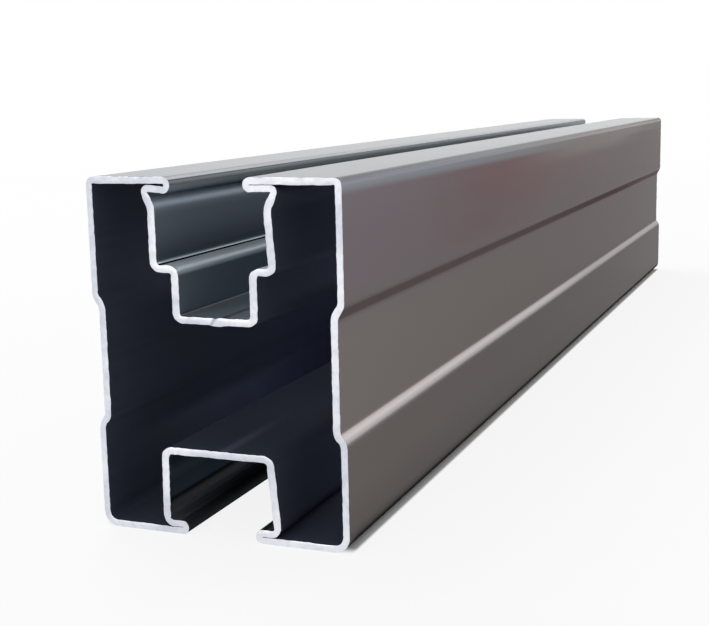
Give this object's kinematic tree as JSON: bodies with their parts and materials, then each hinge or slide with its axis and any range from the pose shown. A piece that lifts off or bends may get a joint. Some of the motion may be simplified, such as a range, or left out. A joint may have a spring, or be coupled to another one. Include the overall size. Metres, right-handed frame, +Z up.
{
  "type": "steel guide rail",
  "caption": "Roll-formed hollow steel guide rail with a deep stepped T-slot along its top, a shallow T-slot along its bottom, and recessed sides.",
  "frame": {"origin": "middle of the bottom face that the rail lies on, halfway along its length", "axes": "+Y along the rail, +Z up out of the deep slot, +X across the rail to the right as seen from the -Y end"},
  "size_m": [0.041, 0.3, 0.054],
  "materials": {
    "coated_steel": "rolled steel strip with a grey zinc alloy coating, satin; bare bright metal on the sawn ends"
  },
  "bodies": {
    "root": {"guide_rail": "coated_steel"}
  },
  "joints": []
}
